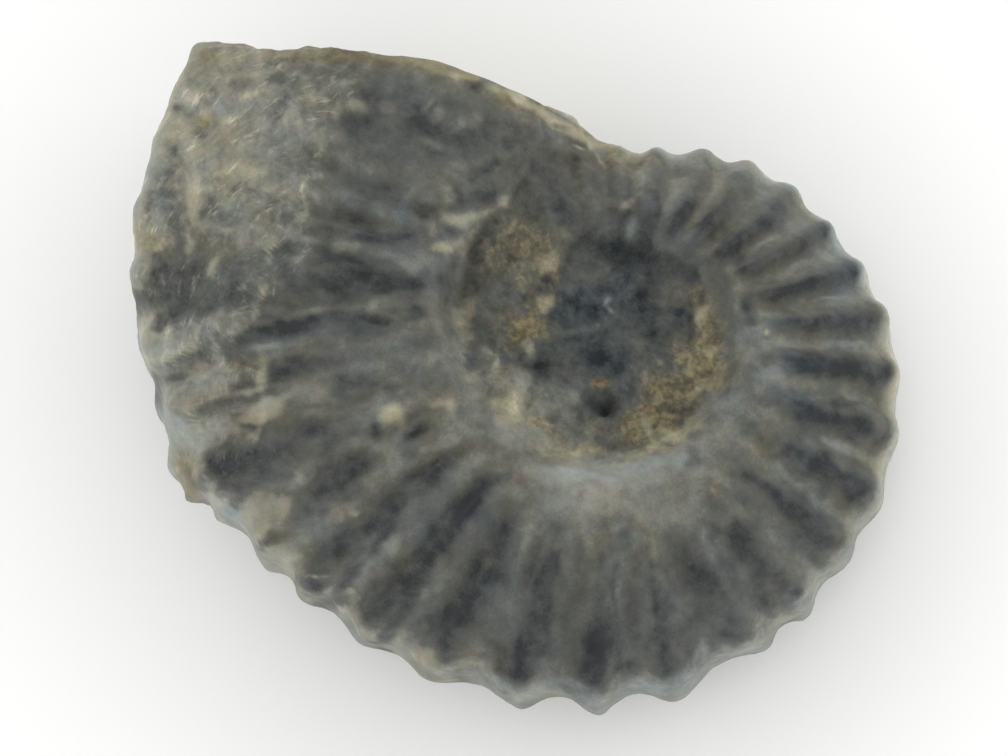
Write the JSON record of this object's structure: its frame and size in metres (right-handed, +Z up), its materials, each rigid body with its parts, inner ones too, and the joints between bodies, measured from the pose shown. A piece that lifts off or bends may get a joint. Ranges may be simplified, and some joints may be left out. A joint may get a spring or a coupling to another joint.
{
  "type": "fossil ammonite",
  "caption": "Coiled ribbed ammonite turned to dark grey-brown stone, broken off at a slant across its mouth, with sandy rock in its centre, lying on its side.",
  "frame": {"origin": "centre of the bounding box on the surface the fossil lies on", "axes": "+Z up, close to the axis of the coil; +X along the longest extent, away from the broken mouth; +Y towards the broken edge of the last chamber"},
  "size_m": [0.0416, 0.0362, 0.0135],
  "materials": {
    "fossil_stone": "dark grey-brown fossil shell and mould, ribs darker and smoother than the clay-grey furrows, rough yellow-brown sandy rock in the centre"
  },
  "bodies": {
    "root": {"ammonite": "fossil_stone"}
  },
  "joints": []
}
